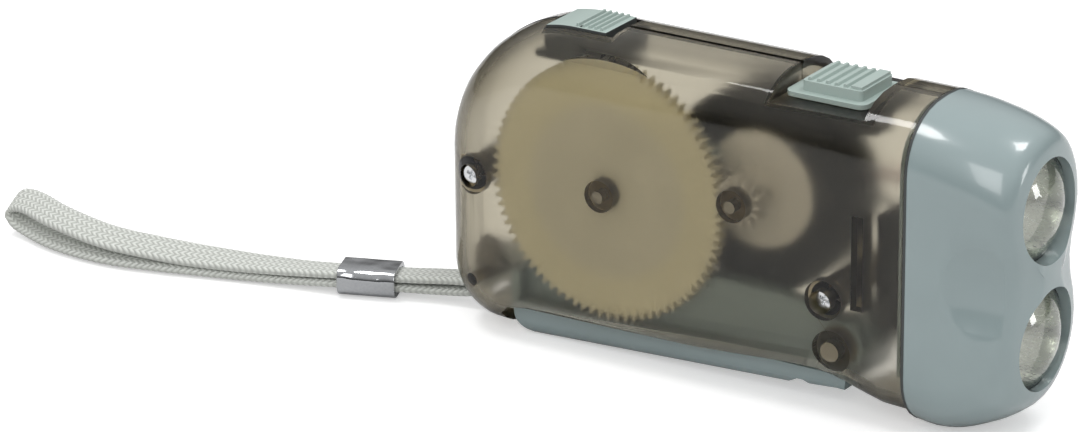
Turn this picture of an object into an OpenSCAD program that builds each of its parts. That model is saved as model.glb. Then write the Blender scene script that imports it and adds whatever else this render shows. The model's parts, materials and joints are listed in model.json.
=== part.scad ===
// Hand-press dynamo flashlight: clear two-part housing, squeeze lever, gear train, dynamo and twin-lens head.
// X runs forward to the lenses, Y across and Z up; the origin is on the table under the middle of the lamp.

/* [Housing] */
// Length over tail and head
body_l = 104; // [103:0.5:107]
// Width over the two shells
body_w = 24.4; // [24.2:0.1:26]
// Height of the flat grip top
grip_h = 52.3; // [52:0.1:54]
// Height of the housing top beside the head
neck_h = 51.7; // [51.2:0.1:52.2]
// Wall of the shells
wall_t = 1.6; // [1.4:0.1:1.8]
// Depth of the pillowed edge round the shells
edge_r = 9.5; // [9:0.1:10]
// Radius of the upper tail corner
tail_top_r = 22.2; // [20:0.2:24]
// Radius of the lower tail corner
tail_low_r = 10.8; // [10.4:0.1:12]
// Height of the tail's underside
tail_low_z = 0.6; // [0.3:0.1:1]
// Gap between the two shells
parting_gap = 0.2; // [0.05:0.05:0.3]

/* [Gear train] */
// Main axle, distance in front of the middle
gear_x = -21.2; // [-21.6:0.1:-20.8]
// Main axle height
gear_z = 27.9; // [27.6:0.1:28.2]
// Teeth of the main gear
gear_teeth = 82; // [80:1:83]
// Teeth of the rotor pinion
rotor_teeth = 14; // [14:1:15]
// Module of the fast pair
gear_module = 0.5; // [0.5:0.01:0.51]
// Thickness of the main gear
gear_t = 2; // [1.8:0.1:2.1]
// Teeth of the full circle that the lever's sector belongs to
sector_teeth = 100; // [99:1:101]
// Teeth of the drive pinion
pinion_teeth = 12; // [12:1:12]
// Module of the slow pair
drive_module = 0.8; // [0.79:0.01:0.81]
// Play between flanks
tooth_play = 0.12; // [0.1:0.01:0.16]
// Radius of the gear and rotor pins
axle_r = 1; // [0.8:0.1:1.1]
// Radius of the bosses that hold the pins
boss_r = 2.6; // [2.2:0.1:2.7]
// Radius of the flywheel
flywheel_r = 16.4; // [15.5:0.1:16.6]
// Running clearance of a shaft in its bore
run_clear = 0.05; // [0.03:0.01:0.08]

/* [Lever] */
// Opening angle of the lever
lever_travel = 20; // [16:1:20]
// Thickness of the lever's walls
lever_t = 1.4; // [1.2:0.1:1.6]
// Gap between lever and shells on each side
lever_gap = 0.9; // [0.8:0.1:1.2]
// Radius of the lever pin
pin_r = 1.6; // [1.4:0.1:1.7]
// Thickness of the web that carries the toothed sector
web_t = 2.8; // [2.4:0.1:2.8]
// Wire of the return spring
spring_d = 0.8; // [0.6:0.1:0.9]
// Curls of the return spring
spring_curls = 4; // [3:1:4]

/* [Head] */
// Length of the head in front of the seam
head_l = 19; // [18.5:0.1:19.5]
// Visible gap at the head seam
seam_gap = 0.15; // [0.1:0.05:0.3]
// Distance between the two lens axes
lens_pitch = 20.6; // [20.2:0.1:21]
// Height of the lower lens axis
lens_low_z = 16.1; // [15.8:0.1:16.4]
// Diameter of each lens opening
lens_hole_d = 16.4; // [15.8:0.1:16.6]
// Wall of the head
head_t = 1.8; // [1.6:0.1:2]

/* [Controls] */
// Travel of the thumb switch
switch_travel = 1.6; // [1.2:0.1:1.8]
// Travel of the lock slide
lock_travel = 1.2; // [1:0.1:1.6]
// Length of the thumb switch plate
switch_l = 14; // [13.5:0.1:14.6]
// Width of the thumb switch plate
switch_w = 12.2; // [11:0.1:13]
// Ribs on the thumb switch
switch_ribs = 5; // [4:1:6]
// Ribs on the lock slide
lock_ribs = 5; // [3:1:5]
// Gap round each sliding button
slide_gap = 0.2; // [0.15:0.05:0.3]

/* [Strap] */
// Width of the flat strap
strap_w = 5.2; // [4.6:0.1:5.6]
// Thickness of the flat strap
strap_t = 1.4; // [1.2:0.1:1.5]
// Radius of the post that holds the strap
post_r = 1; // [0.8:0.1:1.2]

/* [Hidden] */
$fn = 48;

// Housing outline
half_w = body_w / 2;
inner_y = half_w - wall_t;
tail_x = -body_l / 2;
front_x = body_l / 2;
seam_x = front_x - head_l;
grip_end_x = 8.4;
notch_z = grip_h - 3.6;
notch_t = 1.2;
switch_x = grip_end_x + 0.4;
neck_x = switch_x + switch_l + switch_travel + slide_gap + notch_t;
front_low_z = 0.5;
chin_z = 3.2;
chin_x = 22;
chin_end_x = 28;
chin_end_z = 1.6;
overrun = 6;
edge_power = 0.8;
edge_steps = 7;

// Gear positions: the pivot and the rotor lie at their centre distances from the main axle
sector_r = drive_module * sector_teeth / 2;
pinion_r = drive_module * pinion_teeth / 2;
gear_r = gear_module * gear_teeth / 2;
rotor_r = gear_module * rotor_teeth / 2;
pivot_angle = -21.8;
rotor_angle = 7.6;
pivot_x = gear_x + (sector_r + pinion_r) * cos(pivot_angle);
pivot_z = gear_z + (sector_r + pinion_r) * sin(pivot_angle);
rotor_x = gear_x + (gear_r + rotor_r) * cos(rotor_angle);
rotor_z = gear_z + (gear_r + rotor_r) * sin(rotor_angle);
wheel_add = 0.7;
gear_add = 1;
gear_tip_r = gear_r + gear_add * gear_module;
pinion_add = 0.9;
pawl_r = 6.4;
pawl_hub_r = 3.6;
root_clear = 0.25;

// Layers across the lamp, from the near wall inward
layer_gap = 0.8;
end_play = 0.1;
gear_relief = 0.35;
gear_y = -inner_y + 2.2;
web_y = gear_y + gear_t + layer_gap;
web_end_y = web_y + web_t;
fly_y = web_end_y + layer_gap;
fly_t = 1.5;
rim_in_r = 12.6;
hub_r = 9.4;
magnet_in_r = 10.2;
stator_r = 9.5;
stator_boss_r = 5;
plate_t = 0.8;
bobbin_r = 4;
cheek_t = 0.8;
wire_room = 2;
stator_y = fly_y + fly_t + layer_gap;
stator_end_y = inner_y - wire_room;
rim_end_y = stator_end_y - 2.1;

// Lever form
lever_half = inner_y - lever_gap - 1.6;
lever_rear_x = -39.2;
lever_corner_r = 4.5;
lever_slope = 2.5;
lever_front_x = 9.5;
lever_round_r = 3.5;
tray_z = 6.2;
far_wall_z = 11;
ear_r = 4;
pivot_boss_r = pin_r + 1.7;
ear_in_r = ear_r - 0.4;
ear_half = lever_half - 0.3;
foot_r = 7.8;
mouth_r = foot_r + 0.5;
mouth_rear_x = lever_rear_x - 1.3;
lip_z = 6.4;
sector_in_r = sector_r - 5.8;

// Screws, post and rib
screw_boss_r = 2.7;
screw_collar_r = 3.2;
screw_clear = 0.33;
screw_head_r = 1.5;
screw_bore_gap = 0.35;
screw_head_t = 1.2;
screw_r = 1;
screw_seat_y = -half_w + 2.8;
screw_end_y = 5;
post_at = [tail_x + 6.8, 9];
// the rear screw's boss stands just outside the gear's rim, over the post; the front one over the lever pin
rear_screw_far = gear_tip_r + screw_boss_r + screw_clear;
rear_screw_drop = sqrt(max(0, pow(rear_screw_far, 2) - pow(gear_x - post_at[0], 2)));
rear_screw_at = [post_at[0], gear_z - rear_screw_drop];
front_screw_at = [pivot_x - 1.5, pivot_z + 7.94];
rib_x = 24.7;
rib_t = 2;
rib_z = [18.7, 33.9];
rib_depth = 3;
pack_low_z = 15.4;
pack_h = 17.6;
pack_y = -inner_y + rib_depth + 0.4;
pack_w = 9;
strap_window = [1.2, 6.8];
strap_window_w = 7.2;
groove_w = 0.9;
groove_depth = 0.5;

// Head inside
lens_z = [lens_low_z + lens_pitch, lens_low_z];
lens_hole_r = lens_hole_d / 2;
lens_flange_r = lens_hole_r + 0.3;
collar_r = lens_flange_r + 1.2;
lip_x = front_x - 2.6;
lens_rim_t = 1.4;
lens_dome = 2;
lens_back_x = lip_x - lens_rim_t;
board_x = lens_back_x - 8.8;
board_t = 1.2;
led_r = 2.5;
led_l = 3.4;
cup_t = 0.8;
scoop_r = 18;
scoop_depth = 2.4;
spigot_l = 1.2;
spigot_t = 1.2;
// the spigot stops above the rising chin
spigot_low_z = 9.7;
board_margin = 7.5;

// Controls
switch_plate_t = 0.8;
switch_pad_l = 10.5;
switch_pad_w = 9.6;
switch_stop_l = 2.2;
switch_pad_z = notch_z + 2.6;
rib_h = 0.5;
lock_l = 11;
lock_w = 9;
lock_sink = 0.1;
lock_x = tail_x + 17;
lock_slot_l = lock_l + lock_travel + slide_gap;
lock_tongue_z = grip_h - wall_t - 0.9;
lock_flange_z = grip_h - 4.9;
stem_half = 1;
stem_x = [switch_x + 8.6, switch_x + 8.6 + 2 * stem_half];
switch_body_x = [stem_x[0] - 1.9, stem_x[1] + switch_travel + 2.2];
stem_depth = 2;
switch_body_half = 2.6;
switch_body_h = 3.8;

// Strap route, chosen by hand: out over the post, through the crimp, round the end and back under the post
strap_route = [
    [-43, 0, 9.6], [-43.6, 0, 10.7], [-45.2, 0, 11.1], [-46.8, 0, 10.2], [-47.5, 0, 8], [-48.6, -0.2, 5.7],
    [-51, -0.5, 4.5], [-56, -1.5, 4], [-64, -4, 3.45], [-68.5, -5.7, 3.45], [-73, -7.4, 3.45], [-81, -9.2, 3],
    [-90, -11.6, 2.8], [-100, -14.6, 2.9], [-105, -16.2, 3.3], [-114, -17.8, 4.3], [-125, -17, 5.4],
    [-132, -15.2, 5.9], [-136, -14.5, 5.5], [-137.4, -14.3, 4], [-136.6, -14.4, 2.5], [-134, -14.9, 1.6],
    [-125, -17, 0.9], [-114, -17.8, 0.8], [-105, -16.2, 0.8], [-100, -14.6, 0.8], [-90, -11.6, 0.8],
    [-81, -9.2, 1.2], [-73, -7.4, 1.85], [-68.5, -5.7, 1.85], [-64, -4, 1.85], [-56, -1.5, 2.1],
    [-51, -0.5, 2.7], [-48, 0, 4], [-46.4, 0, 6], [-44.9, 0, 7], [-43.4, 0, 7.6], [-42.9, 0, 8.6]];
strap_across = [-0.17, 0.985, 0];
crimp_from = [-64, -4, 2.65];
crimp_to = [-73, -7.4, 2.65];
crimp_h = 2 * strap_t + 0.1;
crimp_w = strap_w + 0.4;
crimp_t = 0.9;
crimp_r = 0.9;

// Leads from the coil to the board
lead_d = 1.1;
lead_low = rotor_z - 4.1;
lead_high = rotor_z + 1.9;
lead_rise = 3;
lead_board_y = inner_y - 4.6;

// Helpers: points, sweeps and skins
function polar(c, r, a) = [c[0] + r * cos(a), c[1] + r * sin(a)];
function arc(c, r, a0, a1, n) = [for (i = [0:n]) polar(c, r, a0 + (a1 - a0) * i / n)];
function unit(v) = v / norm(v);
function reversed(list) = [for (i = [len(list) - 1:-1:0]) list[i]];

// Closed skin over rings of equal count; each ring runs counter-clockwise seen from the last ring's side
module skin(rings) {
    n = len(rings[0]);
    m = len(rings);
    top = (m - 1) * n;
    sides = [for (i = [0:m - 2]) for (j = [0:n - 1]) let (k = (j + 1) % n)
        each [[i * n + j, (i + 1) * n + j, (i + 1) * n + k], [i * n + j, (i + 1) * n + k, i * n + k]]];
    // each end is closed by a fan round the middle of its ring
    first = [for (j = [0:n - 1]) [m * n, j, (j + 1) % n]];
    last = [for (j = [0:n - 1]) [m * n + 1, top + (j + 1) % n, top + j]];
    points = concat([for (r = rings) each r], [middle(rings[0]), middle(rings[m - 1])]);
    polyhedron(points, concat(sides, first, last));
}

function middle(ring) = [for (k = [0:2]) let (v = [for (p = ring) p[k]]) (min(v) + max(v)) / 2];

// Plate cut from a profile in X and Z, from y0 to y1
module xz_plate(y0, y1) {
    translate([0, y1, 0]) rotate([90, 0, 0]) linear_extrude(y1 - y0) children();
}

module y_rod(at, r, y0, y1) {
    translate([at[0], y0, at[1]]) rotate([-90, 0, 0]) cylinder(r = r, h = y1 - y0);
}

module x_rod(y, z, r, x0, x1) {
    translate([x0, y, z]) rotate([0, 90, 0]) cylinder(r = r, h = x1 - x0);
}

module block(low, high) {
    translate(low) cube(high - low);
}

// Tube along points with a flat or round section; across is the direction of its width
module ribbon(points, across, w, t, sides) {
    last = len(points) - 1;
    rings = [for (i = [0:last])
        let (ahead = unit(points[min(i + 1, last)] - points[max(i - 1, 0)]),
             thick = unit(cross(across, ahead)),
             wide = cross(ahead, thick))
        [for (k = [0:sides - 1]) let (a = 360 * (k + 0.5) / sides, grow = 0.5 / cos(180 / sides))
            points[i] + wide * (w * grow * cos(a)) + thick * (t * grow * sin(a))]];
    skin([for (r = rings) reversed(r)]);
}

// Housing form: the side outline drawn in by inset, at the height and depth of a pillowed edge
function outline(inset) = concat(
    [[front_x, front_low_z + inset], [front_x, neck_h - inset], [neck_x, neck_h - inset],
     [grip_end_x, grip_h - inset]],
    arc([tail_x + tail_top_r, grip_h - tail_top_r], tail_top_r - inset, 90, 180, 22),
    arc([tail_x + tail_low_r, tail_low_z + tail_low_r], tail_low_r - inset, 180, 270, 12),
    [[chin_x, chin_z + inset], [chin_end_x, chin_end_z + inset]]);

function edge_inset(t, a) = t + (edge_r - t) * (1 - cos(a));
function edge_y(t, a) = (half_w - t) * pow(sin(a), edge_power);

// One half of the housing form, with its walls t inside the outside; start is how far it passes the middle
module half_form(side, t, start) {
    angles = [for (i = [1:edge_steps]) 90 * i / edge_steps];
    layers = concat([[start, t]], [for (a = angles) [edge_y(t, a), edge_inset(t, a)]]);
    rings = [for (l = layers) [for (p = outline(l[1])) [p[0], side * l[0], p[1]]]];
    skin(side < 0 ? rings : [for (r = rings) reversed(r)]);
}

// Opening under the housing that the lever swings through
module lever_mouth() {
    pivot = [pivot_x, pivot_z];
    xz_plate(-half_w - 1, half_w + 1)
        polygon(concat([[mouth_rear_x, -overrun], [pivot_x, -overrun]],
                       arc(pivot, mouth_r, 270, 300, 5),
                       [[pivot_x, lip_z + 0.7], [pivot_x - 3.4, lip_z + 1.4], [pivot_x - 8.4, lip_z + 1.3],
                        [pivot_x - 24.4, lip_z], [mouth_rear_x + 5.5, lip_z],
                        [mouth_rear_x + 1.9, lip_z - 0.7], [mouth_rear_x, lip_z - 2.5]]));
}

// Room inside the chin for the lever's ears and foot, clear of the pin's bosses
module ear_room() {
    pivot = [pivot_x, pivot_z];
    far_r = mouth_r + 0.15;
    near_r = pivot_boss_r + 0.3;
    side_y = lever_half + 0.4;
    xz_plate(-side_y, side_y)
        polygon(concat(arc(pivot, near_r, 360, 255, 9), arc(pivot, far_r, 262, 300, 6),
                       [polar(pivot, ear_r + 1.6, 310), polar(pivot, ear_r + 0.9, 322)],
                       arc(pivot, ear_r + 0.4, 340, 360, 2)));
}

// Room under the notch for the slide switch
module switch_pocket() {
    top = notch_z - notch_t;
    block([switch_body_x[0] - slide_gap, -switch_body_half - slide_gap, top - switch_body_h - slide_gap],
          [switch_body_x[1] + slide_gap, switch_body_half + slide_gap, top]);
}

// What stands inside one shell: the notch floor, bosses, the strap post and a rib
module shell_features(side) {
    near = side < 0;
    wide = half_w + 1;
    gear_end = -gear_y + end_play;
    block([grip_end_x - notch_t, -wide, notch_z - notch_t], [neck_x, wide, grip_h + 1]);
    side_rod(side, [gear_x, gear_z], boss_r, near ? gear_end : web_end_y + 0.2);
    side_rod(side, [rotor_x, rotor_z], near ? boss_r : stator_boss_r, near ? gear_end : stator_end_y);
    side_rod(side, [pivot_x, pivot_z], pivot_boss_r, ear_half + 0.2);
    for (at = [rear_screw_at, front_screw_at]) {
        side_rod(side, at, screw_boss_r, -2);
        if (near) side_rod(side, at, screw_collar_r, -gear_y + gear_relief);
    }
    side_rod(side, post_at, post_r, -2);
    if (near)
        block([rib_x - rib_t / 2, -wide, rib_z[0]], [rib_x + rib_t / 2, -inner_y + rib_depth, rib_z[1]]);
}

module half_housing(side) {
    difference() {
        half_form(side, 0, parting_gap / 2);
        difference() {
            half_form(side, wall_t, -1);
            shell_features(side);
        }
        block([seam_x, -half_w - 1, -overrun], [front_x + 1, half_w + 1, grip_h + overrun]);
        block([grip_end_x, -half_w - 1, notch_z], [neck_x - notch_t, half_w + 1, grip_h + overrun]);
        lever_mouth();
        ear_room();
        switch_pocket();
        y_rod([gear_x, gear_z], gear_tip_r + gear_relief,
              gear_y - gear_relief / 2, gear_y + gear_t + gear_relief);
        // a groove along the top of the parting line
        block([lock_x + lock_l, -groove_w / 2, grip_h - groove_depth],
              [grip_end_x + 1, groove_w / 2, grip_h + overrun]);
        block([tail_x - 1, -strap_window_w / 2, strap_window[0]],
              [tail_x + 6, strap_window_w / 2, strap_window[1]]);
        block([lock_x - slide_gap, -lock_w / 2 - slide_gap, grip_h - 6],
              [lock_x + lock_slot_l, lock_w / 2 + slide_gap, grip_h + overrun]);
        stem_slot(notch_z - notch_t - 1, notch_z + 1);
        y_rod([gear_x, gear_z], axle_r, -half_w + 0.8, half_w - 5);
        y_rod([rotor_x, rotor_z], axle_r, -half_w + 0.8, half_w - 0.8);
        y_rod([pivot_x, pivot_z], pin_r, -half_w + 0.8, half_w - 0.8);
        for (at = [rear_screw_at, front_screw_at]) {
            y_rod(at, screw_head_r + screw_bore_gap, -half_w - 1, screw_seat_y);
            y_rod(at, screw_r + run_clear, screw_seat_y - 1, screw_end_y + 0.5);
        }
    }
}

// Boss on one shell, from its wall to the distance end from the middle plane
module side_rod(side, at, r, end) {
    outer = half_w + 1;
    y_rod(at, r, side < 0 ? -outer : end, side < 0 ? -end : outer);
}

module right_shell() {
    color([0.42, 0.40, 0.36, 0.55]) half_housing(-1);
}

module left_shell() {
    color([0.42, 0.40, 0.36, 0.55]) half_housing(1);
}

// Head: rings of top, underside, half width and waist at distances in front of the seam
head_rings = [
    [0, neck_h, front_low_z, half_w, 0],
    [4, neck_h - 0.3, 0, half_w + 0.2, 0],
    [7, neck_h - 0.7, 0.4, half_w + 0.2, 0.1],
    [10, neck_h - 1.2, 1.4, half_w + 0.1, 0.4],
    [13, neck_h - 1.9, 2.8, half_w - 0.2, 0.9],
    [head_l - 3.2, neck_h - 2.9, 4.6, half_w - 0.7, 1.5],
    [head_l - 1.9, neck_h - 3.9, 5.9, half_w - 1.5, 1.9],
    [head_l - 1.2, neck_h - 5.4, 7.4, half_w - 2.8, 2],
    [head_l - 0.6, neck_h - 8.4, 9.8, half_w - 5.5, 1.8],
    [head_l, neck_h - 12.8, 13.2, half_w - 8.5, 1.4]];

// Rings in between, on a smooth line through the given ones
function eased(list, parts) =
    let (last = len(list) - 1)
    concat([for (i = [0:last - 1]) for (k = [0:parts - 1])
        let (a = list[i], b = list[i + 1], t = k / parts,
             before = list[max(i - 1, 0)], after = list[min(i + 2, last)])
        a + (b - before) * t / 2 + (before - 2.5 * a + 2 * b - after / 2) * t * t
          + (1.5 * a - before / 2 - 1.5 * b + after / 2) * t * t * t], [list[last]]);

// One ring of the head's skin, drawn in by t
function head_ring(r, t) =
    let (x = seam_x + r[0],
         w = r[3] - t,
         top = r[1] - t,
         low = r[2] + t,
         round = edge_r + 0.7 * r[4] - t,
         power = edge_power + 0.2 * r[0] / head_l,
         corner = [for (a = [0:11.25:90]) [w * pow(sin(a), power), round * (1 - cos(a))]],
         span = top - low - 2 * round,
         side = [for (k = [1:5]) let (u = k / 6) [w - r[4] * pow(sin(180 * u), 2), low + round + span * u]],
         right = concat([for (c = corner) [c[0], low + c[1]]],
                        side,
                        [for (c = reversed(corner)) [c[0], top - c[1]]]),
         left = [for (i = [len(right) - 2:-1:1]) [-right[i][0], right[i][1]]])
    [for (p = concat(right, left)) [x, p[0], p[1]]];

module head() {
    collar_x = board_x + board_t;
    rear = [for (r = eased(head_rings, 3)) [max(r[0], seam_gap), r[1], r[2], r[3], r[4]]];
    hollow = concat([[-1, neck_h, front_low_z, half_w, 0]],
                    [for (r = head_rings) if (r[0] > 0 && seam_x + r[0] < lip_x - 1.5) r]);
    spigot = [for (x = [-spigot_l, 2]) [x, neck_h, front_low_z, half_w, 0]];
    color([0.55, 0.61, 0.61]) difference() {
        union() {
            difference() {
                skin([for (r = rear) head_ring(r, 0)]);
                skin([for (r = hollow) head_ring(r, head_t)]);
            }
            difference() {
                skin([for (r = spigot) head_ring(r, wall_t + 0.15)]);
                translate([-1, 0, 0]) skin([for (r = spigot) head_ring(r, wall_t + 0.15 + spigot_t)]);
                translate([1, 0, 0]) skin([for (r = spigot) head_ring(r, wall_t + 0.15 + spigot_t)]);
                block([seam_x - spigot_l - 1, -half_w, -overrun], [seam_x + 1, half_w, spigot_low_z]);
            }
            intersection() {
                skin([for (r = head_rings) head_ring(r, 0.5)]);
                for (z = lens_z) x_rod(0, z, collar_r, collar_x, front_x);
            }
        }
        for (z = lens_z) {
            x_rod(0, z, lens_flange_r + 0.1, collar_x - 1, lip_x);
            x_rod(0, z, lens_hole_r, lip_x - 1, front_x + 1);
        }
        // a shallow scoop in each side, between the two lens lobes
        for (side = [-1, 1])
            translate([front_x - 3, side * (half_w + scoop_r - scoop_depth), lens_low_z + lens_pitch / 2])
                sphere(r = scoop_r);
    }
}

// Plano-convex lens with a flange behind the lip
module lens(z) {
    dome_r = (lens_hole_r * lens_hole_r + lens_dome * lens_dome) / (2 * lens_dome);
    edge_a = asin((lens_hole_r - 0.2) / dome_r);
    color([0.9, 0.93, 0.92, 0.4]) translate([lip_x, 0, z]) rotate([0, 90, 0]) rotate_extrude()
        polygon(concat([[0, -lens_rim_t], [lens_flange_r, -lens_rim_t], [lens_flange_r, 0]],
                       [for (i = [6:-1:0]) let (a = edge_a * i / 6)
                           [dome_r * sin(a), dome_r * (cos(a) - cos(edge_a))]]));
}

module upper_lens() { lens(lens_z[0]); }

module lower_lens() { lens(lens_z[1]); }

// Bright cup with a parabolic inside, from the board to the back of the lens
module reflector(z) {
    depth = lens_back_x - board_x - board_t;
    throat_r = led_r + 0.2;
    steps = 8;
    mouth_r = lens_flange_r - cup_t;
    curve = [for (i = [0:steps])
        let (u = i / steps)
        [throat_r + (mouth_r - throat_r) * sqrt(u), u * depth]];
    color([0.86, 0.87, 0.86]) translate([board_x + board_t, 0, z]) rotate([0, 90, 0]) rotate_extrude()
        polygon(concat(curve, [[lens_flange_r, depth], [lens_flange_r, depth - 1.2]],
                       [for (i = [steps - 1:-1:0]) [curve[i][0] + cup_t, max(curve[i][1] - 0.6, 0)]]));
}

module upper_reflector() { reflector(lens_z[0]); }

module lower_reflector() { reflector(lens_z[1]); }

module led(z) {
    color([0.95, 0.95, 0.85]) translate([board_x + board_t, 0, z]) rotate([0, 90, 0]) union() {
        cylinder(r = led_r, h = led_l);
        translate([0, 0, led_l]) intersection() {
            sphere(r = led_r);
            cylinder(r = led_r + 1, h = led_r);
        }
    }
}

module upper_led() { led(lens_z[0]); }

module lower_led() { led(lens_z[1]); }

module led_board() {
    color([0.2, 0.38, 0.25])
        block([board_x, -board_margin, lens_low_z - board_margin],
              [board_x + board_t, board_margin, lens_low_z + lens_pitch + board_margin]);
}

// Slot that the thumb switch's stem runs in, from z0 to z1
module stem_slot(z0, z1) {
    block([stem_x[0] - slide_gap, -stem_half - slide_gap, z0],
          [stem_x[1] + switch_travel + slide_gap, stem_half + slide_gap, z1]);
}

// Slide switch hung under the floor of the thumb switch
module switch_body() {
    top = notch_z - notch_t;
    color([0.15, 0.15, 0.15]) difference() {
        block([switch_body_x[0], -switch_body_half, top - switch_body_h],
              [switch_body_x[1], switch_body_half, top]);
        stem_slot(top - stem_depth - 0.4, top + 1);
    }
}

// Stack of button cells in a dark sleeve, held between the rib and the head
module cell_pack() {
    low_x = rib_x + rib_t / 2 + slide_gap;
    high_x = seam_x - spigot_l - slide_gap;
    color([0.16, 0.16, 0.15]) translate([(low_x + high_x) / 2, pack_y + pack_w / 2, pack_low_z])
        rounded_plate(high_x - low_x, pack_w, pack_h, 1);
}

module gear_axle() {
    color([0.72, 0.73, 0.74]) y_rod([gear_x, gear_z], axle_r, -half_w + 0.8, half_w - 5);
}

module rotor_axle() {
    color([0.72, 0.73, 0.74]) y_rod([rotor_x, rotor_z], axle_r, -half_w + 0.8, half_w - 0.8);
}

module lever_pin() {
    color([0.72, 0.73, 0.74]) y_rod([pivot_x, pivot_z], pin_r, -half_w + 0.8, half_w - 0.8);
}

// Stator: a wound bobbin between two pole plates, standing on the far shell's boss
module bobbin() {
    at = [rotor_x, rotor_z];
    color([0.88, 0.86, 0.78]) difference() {
        union() {
            y_rod(at, bobbin_r, stator_y + plate_t, stator_end_y - plate_t);
            y_rod(at, stator_r - 0.5, stator_y + plate_t, stator_y + plate_t + cheek_t);
            y_rod(at, stator_r - 0.5, stator_end_y - plate_t - cheek_t, stator_end_y - plate_t);
        }
        y_rod(at, axle_r, stator_y - 1, stator_end_y + 1);
    }
}

module winding() {
    at = [rotor_x, rotor_z];
    color([0.72, 0.42, 0.2]) difference() {
        y_rod(at, stator_r - 1, stator_y + plate_t + cheek_t, stator_end_y - plate_t - cheek_t);
        y_rod(at, bobbin_r, stator_y, stator_end_y);
    }
}

module pole_plate(y, turn) {
    at = [rotor_x, rotor_z];
    poles = 6;
    color([0.6, 0.61, 0.62]) difference() {
        y_rod(at, stator_r, y, y + plate_t);
        y_rod(at, axle_r, y - 1, y + plate_t + 1);
        for (i = [0:poles - 1])
            y_rod(polar(at, stator_r, turn + i * 360 / poles), 1.6, y - 1, y + plate_t + 1);
    }
}

module inner_plate() { pole_plate(stator_y, 0); }

module outer_plate() { pole_plate(stator_end_y - plate_t, 30); }

// Cross-head case screw in its counterbore
module case_screw(at) {
    color([0.8, 0.81, 0.82]) difference() {
        union() {
            y_rod(at, screw_head_r, screw_seat_y - screw_head_t, screw_seat_y);
            y_rod(at, screw_r, screw_seat_y - 0.2, screw_end_y);
        }
        for (turn = [0, 90])
            translate([at[0], screw_seat_y - screw_head_t, at[1]]) rotate([0, turn + 20, 0])
                cube([1.2 * screw_head_r, 1.2, 0.5], center = true);
    }
}

module rear_screw() { case_screw(rear_screw_at); }

module front_screw() { case_screw(front_screw_at); }

// Return spring: a coil round the lever pin with two straight legs
module lever_spring() {
    coil_r = pin_r + 0.5 + spring_d / 2;
    pitch = spring_d + 0.45;
    y0 = -0.4;
    rings_per_curl = 8;
    steps = spring_curls * rings_per_curl + 2;
    start_a = 284;
    leg_l = 6;
    at = [pivot_x, pivot_z];
    coil = [for (i = [0:steps]) let (p = polar(at, coil_r, start_a + 360 * i / rings_per_curl))
        [p[0], y0 + pitch * i / rings_per_curl, p[1]]];
    // one leg runs back over the lever's front, the other up to the front screw's boss
    end_a = start_a + 90;
    first = coil[0] + [sin(start_a), 0, -cos(start_a)] * leg_l;
    last = coil[steps] + [-sin(end_a), 0, cos(end_a)] * leg_l;
    gaps = [for (i = [0:steps]) for (j = [i + 5:1:steps]) norm(coil[i] - coil[j]) - spring_d];
    echo(least_spring_gap = min(gaps));
    color([0.7, 0.71, 0.72]) ribbon(concat([first], coil, [last]), [0, 1, 0], spring_d, spring_d, 6);
}

// Wire held along the far wall, from the stator's outer plate to the board
module lead(z0, z1) {
    start_y = stator_end_y + lead_d / 2 + 0.15;
    wall_y = inner_y - lead_d / 2 - 0.65;
    route = [
        [rotor_x + 6, start_y, z0], [rotor_x + 9, start_y + 0.1, z0], [pivot_x - 4.4, wall_y, z0],
        [pivot_x + 1.6, wall_y, z1], [seam_x - 5, wall_y - 1, z1], [seam_x, lead_board_y + 0.4, z1],
        [board_x, lead_board_y, z1]];
    ribbon(route, [0, 0, 1], lead_d, lead_d, 8);
}

module red_lead() { color([0.7, 0.12, 0.1]) lead(lead_high, lead_high); }

module black_lead() { color([0.1, 0.1, 0.1]) lead(lead_low + lead_rise, lead_low); }

// Flat woven wrist strap
module strap_loop() {
    color([0.82, 0.83, 0.8]) ribbon(strap_route, strap_across, strap_w, strap_t, 8);
}

// Flattened metal sleeve round both strands
module strap_crimp() {
    ahead = crimp_to - crimp_from;
    yaw = atan2(ahead[1], ahead[0]);
    color([0.8, 0.81, 0.83]) translate(crimp_from) rotate([0, 0, yaw]) rotate([0, 90, 0])
        linear_extrude(norm(ahead)) difference() {
            rounded_rect(crimp_h + 2 * crimp_t, crimp_w + 2 * crimp_t, crimp_r + crimp_t);
            rounded_rect(crimp_h, crimp_w, crimp_r);
        }
}

// Rectangle with round corners, centred
module rounded_rect(l, w, r) {
    square([l - 2 * r, w], center = true);
    square([l, w - 2 * r], center = true);
    for (x = [-1, 1]) for (y = [-1, 1]) translate([x * (l / 2 - r), y * (w / 2 - r)]) circle(r = r);
}

// Gear profiles with involute flanks; the tooth number given by phase points along that angle
function involute(a) = tan(a) * 180 / PI - a;
function tooth_half(z, m, r) =
    let (rp = m * z / 2, rb = rp * cos(20))
    90 / z - tooth_play / 4 / rp * 180 / PI + involute(20) - involute(acos(rb / max(r, rb)));
function tooth(c, z, m, radii, at) = concat(
    [for (r = radii) polar(c, r, at - tooth_half(z, m, r))],
    [for (r = reversed(radii)) polar(c, r, at + tooth_half(z, m, r))]);
function tooth_radii(z, m, add, ded) =
    let (rp = m * z / 2)
    [rp - ded * m, rp - 0.3 * m, rp + 0.2 * m, rp + add * m];
function gear_outline(c, z, m, add, ded, phase) =
    [for (i = [0:z - 1]) each tooth(c, z, m, tooth_radii(z, m, add, ded), phase + i * 360 / z)];

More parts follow.
